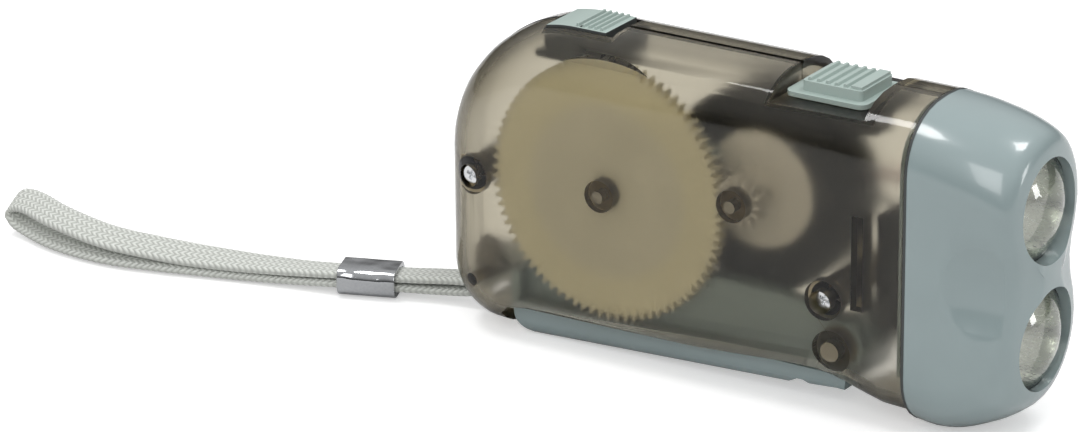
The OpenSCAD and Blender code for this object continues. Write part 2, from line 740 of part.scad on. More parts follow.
// Lever: a tray under the housing, ears on the pin and a web with the toothed sector
module lever() {
    pivot = [pivot_x, pivot_z];
    color([0.55, 0.61, 0.61]) difference() {
        union() {
            difference() {
                intersection() {
                    xz_plate(-lever_half, lever_half) polygon(tray_outline());
                    tray_section();
                }
                tray_hollow();
                block([lever_rear_x + lever_t + 0.2, -lever_half - 1, tray_z],
                      [pivot_x, -lever_half + lever_t + 0.1, far_wall_z + 1]);
            }
            for (y0 = [-ear_half, ear_half - lever_t]) xz_plate(y0, y0 + lever_t) {
                translate(pivot) circle(r = ear_r);
                polygon([[pivot_x - 6.4, tray_z - 1], polar(pivot, foot_r - 0.8, 268),
                         polar(pivot, ear_in_r, 330), polar(pivot, ear_in_r, 150)]);
            }
            xz_plate(web_y, web_end_y) {
                translate(pivot) circle(r = ear_r);
                polygon(web_outline());
                polygon(sector_outline());
            }
        }
        y_rod(pivot, pin_r + run_clear, -half_w, half_w);
    }
}

function tray_outline() =
    let (corner = [lever_rear_x + lever_corner_r, lever_corner_r], rise = tan(lever_slope))
    concat([[lever_rear_x, far_wall_z]], arc(corner, lever_corner_r, 180, 270 + lever_slope, 8),
           [[lever_front_x, rise * (lever_front_x - corner[0])], [lever_front_x + 2.9, 3.7],
            [lever_front_x + 3.9, 3.7], [lever_front_x + 4.8, 3.1]],
           arc([pivot_x, pivot_z], foot_r, 262, 272, 2),
           [polar([pivot_x, pivot_z], ear_in_r, 300), [lever_front_x + 4.5, tray_z],
            [lever_front_x, tray_z + 1], [lever_rear_x + 1, far_wall_z]]);

// Cross-section of the tray, run along the sloping underside
module tray_section() {
    r = lever_round_r;
    w = lever_half;
    translate([lever_rear_x + lever_corner_r, 0, 0]) rotate([0, -lever_slope, 0])
        translate([-20, 0, 0]) rotate([90, 0, 90]) linear_extrude(100)
            polygon(concat([[w, 20], [-w, 20]],
                           arc([-w + r, r], r, 180, 270, 6),
                           arc([w - r, r], r, 270, 360, 6)));
}

module tray_hollow() {
    translate([lever_rear_x + lever_t, -lever_half + lever_t, 0]) rotate([0, -lever_slope, 0])
        translate([0, 0, lever_t + 0.2])
            cube([lever_front_x - lever_rear_x - 2 * lever_t, 2 * (lever_half - lever_t), far_wall_z + 1]);
}

function web_outline() =
    let (pivot = [pivot_x, pivot_z])
    [[lever_rear_x + 1.2, 2], [lever_front_x + 3, 4.6], [pivot_x, pivot_z - ear_in_r],
     polar(pivot, ear_in_r, 60), polar(pivot, 3 * ear_r, 155), polar(pivot, sector_in_r - 2, 170),
     polar(pivot, sector_in_r + 1, 160), polar(pivot, sector_r - 1, 165),
     polar(pivot, pivot_x - lever_rear_x - 0.6, 171.5)];

function sector_outline() =
    let (pivot = [pivot_x, pivot_z], line = pivot_angle + 180, step = 360 / sector_teeth,
         count = ceil(lever_travel / step), low_a = line + 7.8, high_a = line - (count + 0.7) * step,
         radii = tooth_radii(sector_teeth, drive_module, wheel_add, pinion_add + root_clear))
    concat(arc(pivot, sector_in_r, low_a, high_a, 10),
           [for (k = [-count:1]) each tooth(pivot, sector_teeth, drive_module, radii, line + k * step)],
           [polar(pivot, radii[0], low_a)]);

// Drive pinion with two spring pawls that sit in the main gear's ratchet ring
module drive_pinion() {
    at = [gear_x, gear_z];
    line = pivot_angle + 180;
    ded = wheel_add + root_clear;
    color([0.85, 0.82, 0.7]) difference() {
        union() {
            xz_plate(gear_y + gear_t + 0.2, web_end_y + 0.1)
                polygon(gear_outline(at, pinion_teeth, drive_module, pinion_add, ded,
                                     line + 180 + 180 / pinion_teeth));
            xz_plate(gear_y + gear_t - 0.8, gear_y + gear_t + 0.3) {
                translate(at) circle(r = pawl_hub_r);
                for (turn = [0, 180])
                    polygon(concat(arc(at, pawl_r, turn, turn + 100, 8),
                                   arc(at, pawl_r - 1, turn + 100, turn + 30, 6),
                                   arc(at, pawl_hub_r - 0.4, turn + 20, turn - 10, 1)));
            }
        }
        y_rod(at, axle_r + run_clear, -half_w, half_w);
    }
}

// Main gear with a ratchet ring in its far face
module main_gear() {
    at = [gear_x, gear_z];
    ratchet_teeth = 24;
    color([0.80, 0.76, 0.62]) difference() {
        xz_plate(gear_y, gear_y + gear_t)
            polygon(gear_outline(at, gear_teeth, gear_module, gear_add, pinion_add + root_clear,
                                 rotor_angle));
        xz_plate(gear_y + gear_t - 1, gear_y + gear_t + 1)
            polygon([for (i = [0:ratchet_teeth - 1]) each
                [polar(at, pawl_r + 0.4, i * 360 / ratchet_teeth),
                 polar(at, pawl_r + 1.2, (i + 0.9) * 360 / ratchet_teeth)]]);
        y_rod(at, axle_r + run_clear, -half_w, half_w);
    }
}

// Rotor: pinion with a hub disc, flywheel cup round it and ring magnet
module rotor_pinion() {
    at = [rotor_x, rotor_z];
    color([0.85, 0.82, 0.7]) difference() {
        union() {
            xz_plate(gear_y - 0.05, gear_y + gear_t + 0.3)
                polygon(gear_outline(at, rotor_teeth, gear_module, pinion_add, gear_add + root_clear,
                                     rotor_angle + 180 + 180 / rotor_teeth));
            y_rod(at, boss_r, gear_y + gear_t + 0.3, fly_y + 0.1);
            y_rod(at, hub_r, fly_y, fly_y + fly_t);
        }
        y_rod(at, axle_r + run_clear, -half_w, half_w);
    }
}

module flywheel() {
    at = [rotor_x, rotor_z];
    color([0.13, 0.13, 0.14]) difference() {
        y_rod(at, flywheel_r, fly_y, rim_end_y);
        y_rod(at, rim_in_r, fly_y + fly_t, rim_end_y + 1);
        y_rod(at, hub_r, -half_w, half_w);
    }
}

module ring_magnet() {
    at = [rotor_x, rotor_z];
    color([0.3, 0.3, 0.31]) difference() {
        y_rod(at, rim_in_r, fly_y + fly_t, rim_end_y - 0.5);
        y_rod(at, magnet_in_r, fly_y, rim_end_y + 1);
    }
}

// Thumb switch: a plate in the notch, a ribbed pad and a stem into the slide switch
module switch_button() {
    mid = switch_x + switch_l / 2;
    pad_x = mid - switch_pad_l / 2 + 0.6;
    plate_top = notch_z + 0.1 + switch_plate_t;
    color([0.65, 0.70, 0.67]) union() {
        translate([mid, 0, notch_z + 0.1]) rounded_plate(switch_l, switch_w, switch_plate_t, 1.5);
        translate([pad_x + switch_pad_l / 2, 0, plate_top])
            rounded_plate(switch_pad_l, switch_pad_w, switch_pad_z - plate_top, 0.8);
        ribs(pad_x + 0.4, switch_pad_l - switch_stop_l - 0.6, switch_ribs, switch_pad_w - 0.8, switch_pad_z);
        block([pad_x + switch_pad_l - switch_stop_l, -switch_pad_w / 2 + 0.4, switch_pad_z - 0.1],
              [pad_x + switch_pad_l - 0.3, switch_pad_w / 2 - 0.4, switch_pad_z + rib_h]);
        block([stem_x[0], -stem_half, notch_z - notch_t - stem_depth], [stem_x[1], stem_half, notch_z + 0.5]);
    }
}

module rounded_plate(l, w, h, r) {
    linear_extrude(h) rounded_rect(l, w, r);
}

// Row of grip ribs across a button, spread evenly over the length l
module ribs(x, l, count, w, z) {
    pitch = l / count;
    for (i = [0:count - 1])
        translate([x + (i + 0.5) * pitch, 0, z]) rotate([90, 0, 0]) linear_extrude(w, center = true)
            polygon([[-0.32 * pitch, -0.2], [0.32 * pitch, -0.2],
                     [0.15 * pitch, rib_h], [-0.15 * pitch, rib_h]]);
}

// Lock slide: follows the tail's curve, with a flange and a tongue under the slot and ribs on its front part
module lock_button() {
    corner = [tail_x + tail_top_r, grip_h - tail_top_r];
    top_r = tail_top_r - lock_sink;
    lock_low_z = lock_flange_z - 0.5;
    rear_a = acos((lock_x - corner[0]) / top_r);
    tongue_x = lock_x + lock_l + lock_travel + 1.2;
    color([0.65, 0.70, 0.67]) union() {
        xz_plate(-lock_w / 2, lock_w / 2)
            polygon(concat(arc(corner, top_r, 90, rear_a, 6),
                           [[lock_x, lock_low_z], [tongue_x, lock_low_z], [tongue_x, lock_tongue_z],
                            [lock_x + lock_l, lock_tongue_z], [lock_x + lock_l, grip_h - lock_sink]]));
        block([lock_x - 1, -lock_w / 2 - 1, lock_flange_z - 1],
              [lock_x + lock_l + 1, lock_w / 2 + 1, lock_flange_z]);
        ribs(lock_x + lock_l * 0.45, lock_l * 0.5, lock_ribs, lock_w - 1, grip_h - lock_sink);
    }
}

right_shell();
left_shell();
head();
upper_lens();
lower_lens();
upper_reflector();
lower_reflector();
upper_led();
lower_led();
led_board();
switch_body();
cell_pack();
gear_axle();
rotor_axle();
lever_pin();
bobbin();
winding();
inner_plate();
outer_plate();
rear_screw();
front_screw();
lever_spring();
red_lead();
black_lead();
strap_loop();
strap_crimp();
lever();
drive_pinion();
main_gear();
rotor_pinion();
flywheel();
ring_magnet();
switch_button();
lock_button();
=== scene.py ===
# Looks of the hand-press dynamo flashlight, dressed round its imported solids; X forward, Z up, metres.
import json
import math

import bmesh
import bpy
from mathutils import Matrix, Vector

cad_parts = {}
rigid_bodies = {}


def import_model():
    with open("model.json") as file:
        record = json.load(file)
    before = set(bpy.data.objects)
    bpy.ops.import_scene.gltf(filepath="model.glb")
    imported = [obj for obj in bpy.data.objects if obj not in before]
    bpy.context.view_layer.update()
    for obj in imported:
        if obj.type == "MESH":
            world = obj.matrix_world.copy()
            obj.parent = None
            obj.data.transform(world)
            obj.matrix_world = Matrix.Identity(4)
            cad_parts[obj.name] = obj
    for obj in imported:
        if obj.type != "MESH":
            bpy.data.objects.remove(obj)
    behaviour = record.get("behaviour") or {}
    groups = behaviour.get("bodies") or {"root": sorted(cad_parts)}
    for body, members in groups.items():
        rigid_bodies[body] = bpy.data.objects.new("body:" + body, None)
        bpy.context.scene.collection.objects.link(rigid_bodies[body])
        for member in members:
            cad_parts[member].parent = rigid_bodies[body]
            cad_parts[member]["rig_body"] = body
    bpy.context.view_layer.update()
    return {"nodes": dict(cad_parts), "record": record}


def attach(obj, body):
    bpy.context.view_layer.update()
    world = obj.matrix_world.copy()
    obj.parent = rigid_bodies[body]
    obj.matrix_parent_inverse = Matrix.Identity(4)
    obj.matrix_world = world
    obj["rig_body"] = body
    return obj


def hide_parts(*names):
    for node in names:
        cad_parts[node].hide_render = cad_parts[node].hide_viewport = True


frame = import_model()
cad_nodes = frame["nodes"]
slot_of = {s["node"]: s["material_slot"] for s in frame["record"]["subparts"]}
scene = bpy.context.scene
MM = 0.001

# Places of the solids' axes in X and Z, and sizes that the looks follow
GEAR_AT = (-21.2 * MM, 27.9 * MM)
ROTOR_AT = (2.589 * MM, 31.074 * MM)
PIVOT_AT = (20.396 * MM, 11.263 * MM)
REAR_SCREW_AT = (-45.2 * MM, 26.7 * MM)
FRONT_SCREW_AT = (18.896 * MM, 19.203 * MM)
POST_AT = (-45.2 * MM, 9.0 * MM)
RIB_X = 24.7 * MM
RIB_HALF = 1.1 * MM
RIB_LOW = 18.5 * MM
RIB_TOP = 34.1 * MM
GEAR_R = 21 * MM
LOCK_PAINTED_SHADE_Z = 51.2 * MM
LENS_RIM_X = 49.4 * MM
LENS_BULGE = 0.5
MERGE = 0.002 * MM


# Camera

VIEW_AZIMUTH = math.radians(33.291)
VIEW_ELEVATION = math.radians(21.142)
VIEW_ROLL = math.radians(-0.507)
VIEW_DISTANCE = 800 * MM
VIEW_TARGET = Vector((-21.2, -7.0, 27.9)) * MM
VIEW_OFFSET = Vector((11.32, 4.22)) * MM
LENS_MM = 171.9
SENSOR_MM = 36


def make_camera():
    sin_a, cos_a = math.sin(VIEW_AZIMUTH), math.cos(VIEW_AZIMUTH)
    sin_e, cos_e = math.sin(VIEW_ELEVATION), math.cos(VIEW_ELEVATION)
    back = Vector((sin_a * cos_e, -cos_a * cos_e, sin_e))
    level = Vector((cos_a, sin_a, 0))
    upright = back.cross(level)
    right = level * math.cos(VIEW_ROLL) + upright * math.sin(VIEW_ROLL)
    up = upright * math.cos(VIEW_ROLL) - level * math.sin(VIEW_ROLL)
    place = VIEW_TARGET - right * VIEW_OFFSET.x - up * VIEW_OFFSET.y + back * VIEW_DISTANCE
    data = bpy.data.cameras.new("camera")
    data.lens = LENS_MM
    data.sensor_width = SENSOR_MM
    data.sensor_fit = "HORIZONTAL"
    data.clip_start = 0.05
    camera = bpy.data.objects.new("camera", data)
    camera.matrix_world = Matrix((
        (right.x, up.x, back.x, place.x),
        (right.y, up.y, back.y, place.y),
        (right.z, up.z, back.z, place.z),
        (0, 0, 0, 1)))
    scene.collection.objects.link(camera)
    scene.camera = camera


make_camera()


# Making pieces

def shade_by_angle(bm, degrees):
    limit = math.radians(degrees)
    for face in bm.faces:
        face.smooth = True
    for edge in bm.edges:
        edge.smooth = edge.calc_face_angle(0) < limit


def add_piece(bm, name, body, material, degrees=35):
    shade_by_angle(bm, degrees)
    mesh = bpy.data.meshes.new(name)
    bm.to_mesh(mesh)
    bm.free()
    mesh.materials.append(material)
    piece = bpy.data.objects.new(name, mesh)
    scene.collection.objects.link(piece)
    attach(piece, body)
    return piece


def round_edges(piece, width, segments=2, degrees=40):
    modifier = piece.modifiers.new("edges", "BEVEL")
    modifier.width = width
    modifier.segments = segments
    modifier.limit_method = "ANGLE"
    modifier.angle_limit = math.radians(degrees)
    modifier.harden_normals = True


def dress(node, material, degrees=35, edge=0.0, shrink=0.0):
    """A smooth copy of a CAD node that stands for it, with rounded edges or a gap round it where asked."""
    solid = cad_nodes[node]
    bm = bmesh.new()
    bm.from_mesh(solid.data)
    bmesh.ops.remove_doubles(bm, verts=bm.verts, dist=MERGE)
    if edge:
        bmesh.ops.dissolve_limit(bm, angle_limit=math.radians(0.5), verts=bm.verts, edges=bm.edges)
    for v in bm.verts:
        v.co -= v.normal * shrink
    piece = add_piece(bm, node + "_dressed", solid["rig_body"], material, degrees)
    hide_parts(node)
    if edge:
        round_edges(piece, edge)
    return piece


# Materials

def new_material(name):
    material = bpy.data.materials.new(name)
    material.use_nodes = True
    tree = material.node_tree
    return material, tree, tree.nodes["Principled BSDF"]


def object_coords(tree):
    return tree.nodes.new("ShaderNodeTexCoord").outputs["Object"]


def noise(tree, scale, detail=3.0, coords=None):
    node = tree.nodes.new("ShaderNodeTexNoise")
    node.inputs["Scale"].default_value = scale
    node.inputs["Detail"].default_value = detail
    tree.links.new(coords or object_coords(tree), node.inputs["Vector"])
    return node.outputs["Fac"]


def ramp(tree, value, stops):
    node = tree.nodes.new("ShaderNodeValToRGB")
    elements = node.color_ramp.elements
    while len(elements) < len(stops):
        elements.new(0.5)
    for element, (place, color) in zip(elements, stops):
        element.position = place
        element.color = (*color, 1) if isinstance(color, tuple) else (color, color, color, 1)
    tree.links.new(value, node.inputs["Fac"])
    return node.outputs["Color"]


def math_node(tree, operation, *values):
    node = tree.nodes.new("ShaderNodeMath")
    node.operation = operation
    for socket, value in zip(node.inputs, values):
        if isinstance(value, (int, float)):
            socket.default_value = value
        else:
            tree.links.new(value, socket)
    return node.outputs["Value"]


def bump(tree, shader, height, strength, distance):
    node = tree.nodes.new("ShaderNodeBump")
    node.inputs["Strength"].default_value = strength
    node.inputs["Distance"].default_value = distance
    tree.links.new(height, node.inputs["Height"])
    tree.links.new(node.outputs["Normal"], shader.inputs["Normal"])


def mesh_value(tree, name):
    node = tree.nodes.new("ShaderNodeAttribute")
    node.attribute_name = name
    return node.outputs["Fac"]


def times(tree, color, other):
    node = tree.nodes.new("ShaderNodeMix")
    node.data_type = "RGBA"
    node.blend_type = "MULTIPLY"
    node.inputs["Factor"].default_value = 1.0
    tree.links.new(color, node.inputs["A"])
    tree.links.new(other, node.inputs["B"])
    return node.outputs["Result"]


def shift(color, factor):
    return tuple(min(1.0, c * factor) for c in color)


INSIDE_ROUGHNESS = 0.275
ROUGHNESS_SPREAD = 0.12
OUTSIDE_ROUGHNESS = 0.05
SMOKE_IOR = 1.4
# Painted shade for the shell's faces over the bosses and over the rib.
BOSS_PAINTED_SHADE = (0.50, 0.44, 0.34)
RIB_PAINTED_SHADE = (0.12, 0.11, 0.09)
SMOKE_COLOR = (0.50, 0.45, 0.31, 1)
SMOKE_DENSITY = 430
STITCH = 1.05 * MM
STITCH_COLUMN = 1.3 * MM


def moulded(name, color, roughness, coat=0.0, grain=0.02, grain_scale=4000):
    """Moulded plastic: faint cloudy colour, uneven gloss and a fine grain."""
    material, tree, shader = new_material(name)
    cloud = noise(tree, 60, 4)
    tree.links.new(ramp(tree, cloud, [(0.3, shift(color, 0.96)), (0.7, shift(color, 1.04))]),
                   shader.inputs["Base Color"])
    uneven = noise(tree, 300, 5)
    gloss = ramp(tree, uneven, [(0.3, roughness * 0.85), (0.7, roughness * 1.15)])
    tree.links.new(gloss, shader.inputs["Roughness"])
    shader.inputs["Coat Weight"].default_value = coat
    shader.inputs["Coat Roughness"].default_value = 0.06
    bump(tree, shader, noise(tree, grain_scale, 2), grain, 0.02 * MM)
    return material


def metal(name, color, roughness, brushed=(1, 1, 1), dents=0.0):
    """Plated or turned metal with fine marks, drawn out along the axes where brushed is small."""
    material, tree, shader = new_material(name)
    mapping = tree.nodes.new("ShaderNodeMapping")
    mapping.inputs["Scale"].default_value = brushed
    tree.links.new(object_coords(tree), mapping.inputs["Vector"])
    marks = noise(tree, 2500, 4, mapping.outputs["Vector"])
    tree.links.new(ramp(tree, marks, [(0.3, shift(color, 0.9)), (0.7, color)]), shader.inputs["Base Color"])
    gloss = ramp(tree, marks, [(0.3, roughness * 0.7), (0.7, roughness * 1.3)])
    tree.links.new(gloss, shader.inputs["Roughness"])
    shader.inputs["Metallic"].default_value = 1.0
    if dents:
        bump(tree, shader, noise(tree, 210, 1), 1.0, dents)
    else:
        bump(tree, shader, marks, 0.05, 0.01 * MM)
    return material


def smoke_clear():
    """Clear smoke plastic: darker the further light runs in it, glossy outside and frosted inside, with
    painted shade on the faces over the bosses and the rib.
    """
    material, tree, shader = new_material("smoke_clear")
    haze = noise(tree, 120, 4)
    clear = ramp(tree, haze, [(0.3, (0.95, 0.945, 0.925)), (0.7, (0.98, 0.975, 0.96))])
    # Painted shade: faces over the bosses and the rib get a darker colour, for the dim view down their
    # length.
    boss = mesh_value(tree, "boss")
    painted_shade_tint = ramp(tree, boss, [(0.0, 1.0), (0.5, BOSS_PAINTED_SHADE), (1.0, RIB_PAINTED_SHADE)])
    tree.links.new(times(tree, clear, painted_shade_tint), shader.inputs["Base Color"])
    least = INSIDE_ROUGHNESS - ROUGHNESS_SPREAD / 2
    spread = math_node(tree, "MULTIPLY_ADD", haze, ROUGHNESS_SPREAD, least)
    rough = math_node(tree, "MULTIPLY_ADD", mesh_value(tree, "frost"), spread, OUTSIDE_ROUGHNESS)
    tree.links.new(rough, shader.inputs["Roughness"])
    shader.inputs["IOR"].default_value = SMOKE_IOR
    shader.inputs["Transmission Weight"].default_value = 1.0
    bump(tree, shader, noise(tree, 90, 2), 0.06, 0.3 * MM)
    absorb = tree.nodes.new("ShaderNodeVolumeAbsorption")
    absorb.inputs["Color"].default_value = SMOKE_COLOR
    absorb.inputs["Density"].default_value = SMOKE_DENSITY
    tree.links.new(absorb.outputs["Volume"], tree.nodes["Material Output"].inputs["Volume"])
    return material


def clear_lens():
    """Clear dome that bends the view little, as a thin moulding does, under a glossy face."""
    material, tree, shader = new_material("clear_lens")
    wipe = noise(tree, 400, 5)
    tree.links.new(ramp(tree, wipe, [(0.4, 0.01), (0.75, 0.05)]), shader.inputs["Roughness"])
    tree.links.new(ramp(tree, wipe, [(0.3, (0.91, 0.93, 0.88)), (0.7, (0.94, 0.95, 0.91))]),
                   shader.inputs["Base Color"])
    shader.inputs["IOR"].default_value = 1.12
    shader.inputs["Transmission Weight"].default_value = 1.0
    shader.inputs["Coat Weight"].default_value = 1.0
    shader.inputs["Coat Roughness"].default_value = 0.03
    shader.inputs["Coat IOR"].default_value = 1.8
    return material


def knitted():
    """Knitted tape: columns of slanted stitches, placed by the strap's own length and width, with painted
    shade in the grooves between them.
    """
    material, tree, shader = new_material("knitted")
    column = math_node(tree, "MULTIPLY", mesh_value(tree, "across"), 1 / STITCH_COLUMN)
    side = math_node(tree, "ABSOLUTE", math_node(tree, "SUBTRACT", math_node(tree, "FRACT", column), 0.5))
    row = math_node(tree, "MULTIPLY", mesh_value(tree, "along"), 1 / STITCH)
    slanted = math_node(tree, "MULTIPLY_ADD", side, 1.5, row)
    phase = math_node(tree, "MULTIPLY", slanted, math.tau)
    stitch = math_node(tree, "MULTIPLY_ADD", math_node(tree, "SINE", phase), 0.5, 0.5)
    groove = math_node(tree, "MULTIPLY", math_node(tree, "SUBTRACT", 0.5, side), 2.0)
    height = math_node(tree, "MULTIPLY", stitch, math_node(tree, "POWER", groove, 0.4))
    fluff = noise(tree, 5000, 3)
    both = math_node(tree, "MULTIPLY_ADD", fluff, 0.3, height)
    # The colour follows the stitch height: the tape's colour on the stitches and painted shade in the
    # grooves.
    tape_tone_and_groove_shade = [(0.1, (0.39, 0.40, 0.37)), (0.45, (0.59, 0.61, 0.57)), (0.9, (0.71, 0.73, 0.69))]
    tree.links.new(ramp(tree, both, tape_tone_and_groove_shade), shader.inputs["Base Color"])
    shader.inputs["Roughness"].default_value = 0.85
    shader.inputs["Sheen Weight"].default_value = 0.3
    shader.inputs["Sheen Roughness"].default_value = 0.5
    bump(tree, shader, both, 0.75, 0.25 * MM)
    return material


def gear_cream():
    """Cream gear: greyer over its thin middle, painted shade for a recessed web that the solid doesn't
    have, and yellower on the thick rim.
    """
    material, tree, shader = new_material("gear_cream")
    flat = tree.nodes.new("ShaderNodeVectorMath")
    flat.operation = "MULTIPLY"
    flat.inputs[1].default_value = (1, 0, 1)
    tree.links.new(object_coords(tree), flat.inputs[0])
    reach = tree.nodes.new("ShaderNodeVectorMath")
    reach.operation = "DISTANCE"
    reach.inputs[1].default_value = (GEAR_AT[0], 0, GEAR_AT[1])
    tree.links.new(flat.outputs["Vector"], reach.inputs[0])
    share = math_node(tree, "MULTIPLY", reach.outputs["Value"], 1 / GEAR_R)
    # Painted shade: the greyer tone inside the rim stands in for the shade of a recessed web; the tone
    # darkens again at the teeth.
    web_in_painted_shade, rim = (0.82, 0.77, 0.61), (0.89, 0.82, 0.58)
    tone = ramp(tree, share, [(0.62, web_in_painted_shade), (0.72, rim), (0.93, rim), (1.0, shift(web_in_painted_shade, 0.9))])
    cloud = ramp(tree, noise(tree, 120, 4), [(0.3, 0.94), (0.7, 1.0)])
    tree.links.new(times(tree, tone, cloud), shader.inputs["Base Color"])
    shader.inputs["Roughness"].default_value = 0.45
    bump(tree, shader, noise(tree, 4000, 2), 0.08, 0.02 * MM)
    return material


def wound_wire():
    """Enamelled copper wire, wound in fine turns, with painted shade in the grooves between the turns."""
    material, tree, shader = new_material("copper_wire")
    wave = tree.nodes.new("ShaderNodeTexWave")
    wave.bands_direction = "Y"
    wave.inputs["Scale"].default_value = 900
    tree.links.new(object_coords(tree), wave.inputs["Vector"])
    # Painted shade: the copper darkens toward the grooves between turns, following the same wave as the
    # bump.
    tree.links.new(ramp(tree, wave.outputs["Fac"], [(0.0, (0.28, 0.11, 0.04)), (1.0, (0.62, 0.28, 0.11))]),
                   shader.inputs["Base Color"])
    shader.inputs["Metallic"].default_value = 0.9
    shader.inputs["Roughness"].default_value = 0.35
    bump(tree, shader, wave.outputs["Fac"], 0.5, 0.1 * MM)
    return material


smoke = smoke_clear()
blue_grey = moulded("blue_grey", (0.265, 0.33, 0.335), 0.22, coat=0.5)
button_grey = moulded("button_grey", (0.37, 0.45, 0.42), 0.4, grain=0.06)
lens_clear = clear_lens()
mirror = metal("mirror", (0.50, 0.52, 0.45), 0.3)
lamp_clear = moulded("lamp_clear", (0.82, 0.80, 0.62), 0.1, coat=0.6)
board_green = moulded("board_green", (0.05, 0.16, 0.08), 0.4)
black_plastic = moulded("black_plastic", (0.02, 0.02, 0.021), 0.45)
steel = metal("steel", (0.62, 0.63, 0.64), 0.3, (1, 8, 1))
bright_screw = metal("bright_screw", (0.80, 0.81, 0.82), 0.16)
cream = moulded("cream", (0.78, 0.71, 0.52), 0.45, grain=0.08)
cream_gear = gear_cream()
copper = wound_wire()
red_wire = moulded("red_wire", (0.5, 0.02, 0.015), 0.4)
dark_metal = moulded("dark_metal", (0.008, 0.008, 0.0085), 0.5)
hub_grey = moulded("hub_grey", (0.74, 0.70, 0.63), 0.5)
pin_end = moulded("pin_end", (0.52, 0.52, 0.50), 0.4)
# The strap's knotted end: the strap's colour darkened for painted shade.
strap_end_in_painted_shade = moulded("strap_end_in_painted_shade", (0.24, 0.22, 0.19), 0.7, grain=0.2, grain_scale=2500)
# Dark grey used for painted shade and painted shadow lines.
painted_shade_grey = moulded("painted_shade_grey", (0.045, 0.05, 0.05), 0.5)
strap_knit = knitted()
chrome = metal("chrome", (0.46, 0.47, 0.485), 0.07, dents=0.5 * MM)
materials_of = {
    "smoke_clear": smoke, "blue_grey": blue_grey, "clear": lens_clear, "mirror": mirror,
    "lamp": lamp_clear, "board": board_green, "black_plastic": black_plastic, "steel": steel,
    "bright_screw": bright_screw, "cream_plastic": cream, "copper": copper, "red_wire": red_wire,
    "dark_metal": dark_metal, "strap": strap_knit, "chrome": chrome, "button": button_grey}
for name, node in cad_nodes.items():
    node.data.materials.clear()
    node.data.materials.append(materials_of[slot_of[name]])


# Wrist strap: knitted tape out over the post, through the crimp, round the hand loop and back

STRAP_W = 5.2 * MM
STRAP_T = 1.4 * MM
STRAP_ROUTE = [Vector(p) * MM for p in (
    (-43, 0, 9.6), (-43.6, 0, 10.7), (-45.2, 0, 11.1), (-46.8, 0, 10.2), (-47.5, 0, 8),
    (-48.6, -0.2, 5.7), (-51, -0.5, 4.5), (-56, -1.5, 4), (-64, -4, 3.45), (-68.5, -5.7, 3.45),
    (-73, -7.4, 3.4), (-81, -9.2, 2.75), (-90, -11.6, 2.3), (-98, -14.1, 2.35), (-104, -15.9, 2.8),
    (-113, -17.7, 3.6), (-123, -17.2, 4.7), (-129.8, -15.4, 5.2), (-133.4, -14.6, 4.8),
    (-134.7, -14.4, 3.5), (-133.9, -14.5, 2.2), (-131.4, -15, 1.4), (-123, -17.2, 0.9),
    (-113, -17.7, 0.8), (-104, -15.9, 0.8), (-98, -14.1, 0.8), (-90, -11.6, 0.85), (-81, -9.2, 1.25),
    (-73, -7.4, 1.85), (-68.5, -5.7, 1.85), (-64, -4, 1.85), (-56, -1.5, 2.1), (-51, -0.5, 2.7),
    (-48, 0, 4), (-46.4, 0, 6), (-44.9, 0, 7), (-43.4, 0, 7.6), (-42.9, 0, 8.6))]
STRAP_LEAN = math.radians(22)
LEAN_FROM_X = -74 * MM
LEAN_TO_X = -104 * MM
STRAP_SKEW = -0.17
STRAP_STEP = 0.35 * MM
STRAP_SIDES = 20
FLAT_SIDES = 0.45
FLAT_FACES = 0.8
SCALLOP = 0.02


def eased(route, step):
    """Points about a step apart on a smooth line through the route."""
    points = [route[0].copy()]
    for i in range(len(route) - 1):
        a, b = route[i], route[i + 1]
        before = route[max(i - 1, 0)]
        after = route[min(i + 2, len(route) - 1)]
        count = max(1, round((b - a).length / step))
        for k in range(1, count + 1):
            t = k / count
            points.append(0.5 * (2 * a + (b - before) * t + (2 * before - 5 * a + 4 * b - after) * t * t
                                 + (3 * a - before - 3 * b + after) * t ** 3))
    return points


def lean_at(x):
    """How far the tape tips up on its near edge: flat in the crimp, most out along the loop."""
    share = min(1.0, max(0.0, (x - LEAN_FROM_X) / (LEAN_TO_X - LEAN_FROM_X)))
    return STRAP_LEAN * share * share * (3 - 2 * share)


def make_strap():
    """The tape is one grid of stitch lines, wrapped round into a flat tube along the route."""
    path = eased(STRAP_ROUTE, STRAP_STEP)
    leans = [lean_at(p.x) for p in path]
    for p, lean in zip(path, leans):
        p.z += math.sin(lean) * STRAP_W / 2
    last = len(path) - 1
    bm = bmesh.new()
    along = bm.verts.layers.float.new("along")
    across = bm.verts.layers.float.new("across")
    bmesh.ops.create_grid(bm, x_segments=last, y_segments=STRAP_SIDES, size=1)
    lengths = [0.0]
    for i in range(last):
        lengths.append(lengths[i] + (path[i + 1] - path[i]).length)
    for v in bm.verts:
        i = round((v.co.x + 1) / 2 * last)
        turn = (v.co.y + 1) * math.pi
        ahead = (path[min(i + 1, last)] - path[max(i - 1, 0)]).normalized()
        over = Vector((STRAP_SKEW, math.cos(leans[i]), math.sin(leans[i])))
        thick = over.cross(ahead).normalized()
        wide = ahead.cross(thick)
        x = math.copysign(abs(math.cos(turn)) ** FLAT_SIDES, math.cos(turn)) * STRAP_W / 2
        y = math.copysign(abs(math.sin(turn)) ** FLAT_FACES, math.sin(turn)) * STRAP_T / 2
        scallop = 1 + SCALLOP * math.sin(math.tau * lengths[i] / STITCH)
        v.co = path[i] + wide * (x * scallop) + thick * y
        v[along] = lengths[i]
        v[across] = x
    bmesh.ops.remove_doubles(bm, verts=bm.verts, dist=0.001 * MM)
    bmesh.ops.holes_fill(bm, edges=[e for e in bm.edges if e.is_boundary], sides=0)
    bmesh.ops.recalc_face_normals(bm, faces=bm.faces)
    strap = add_piece(bm, "wrist_strap", "housing", strap_knit, 60)
    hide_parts("strap_loop")
    crimp = dress("strap_crimp", chrome, edge=0.15 * MM)


make_strap()


# Housing, head, lever, buttons and the works inside

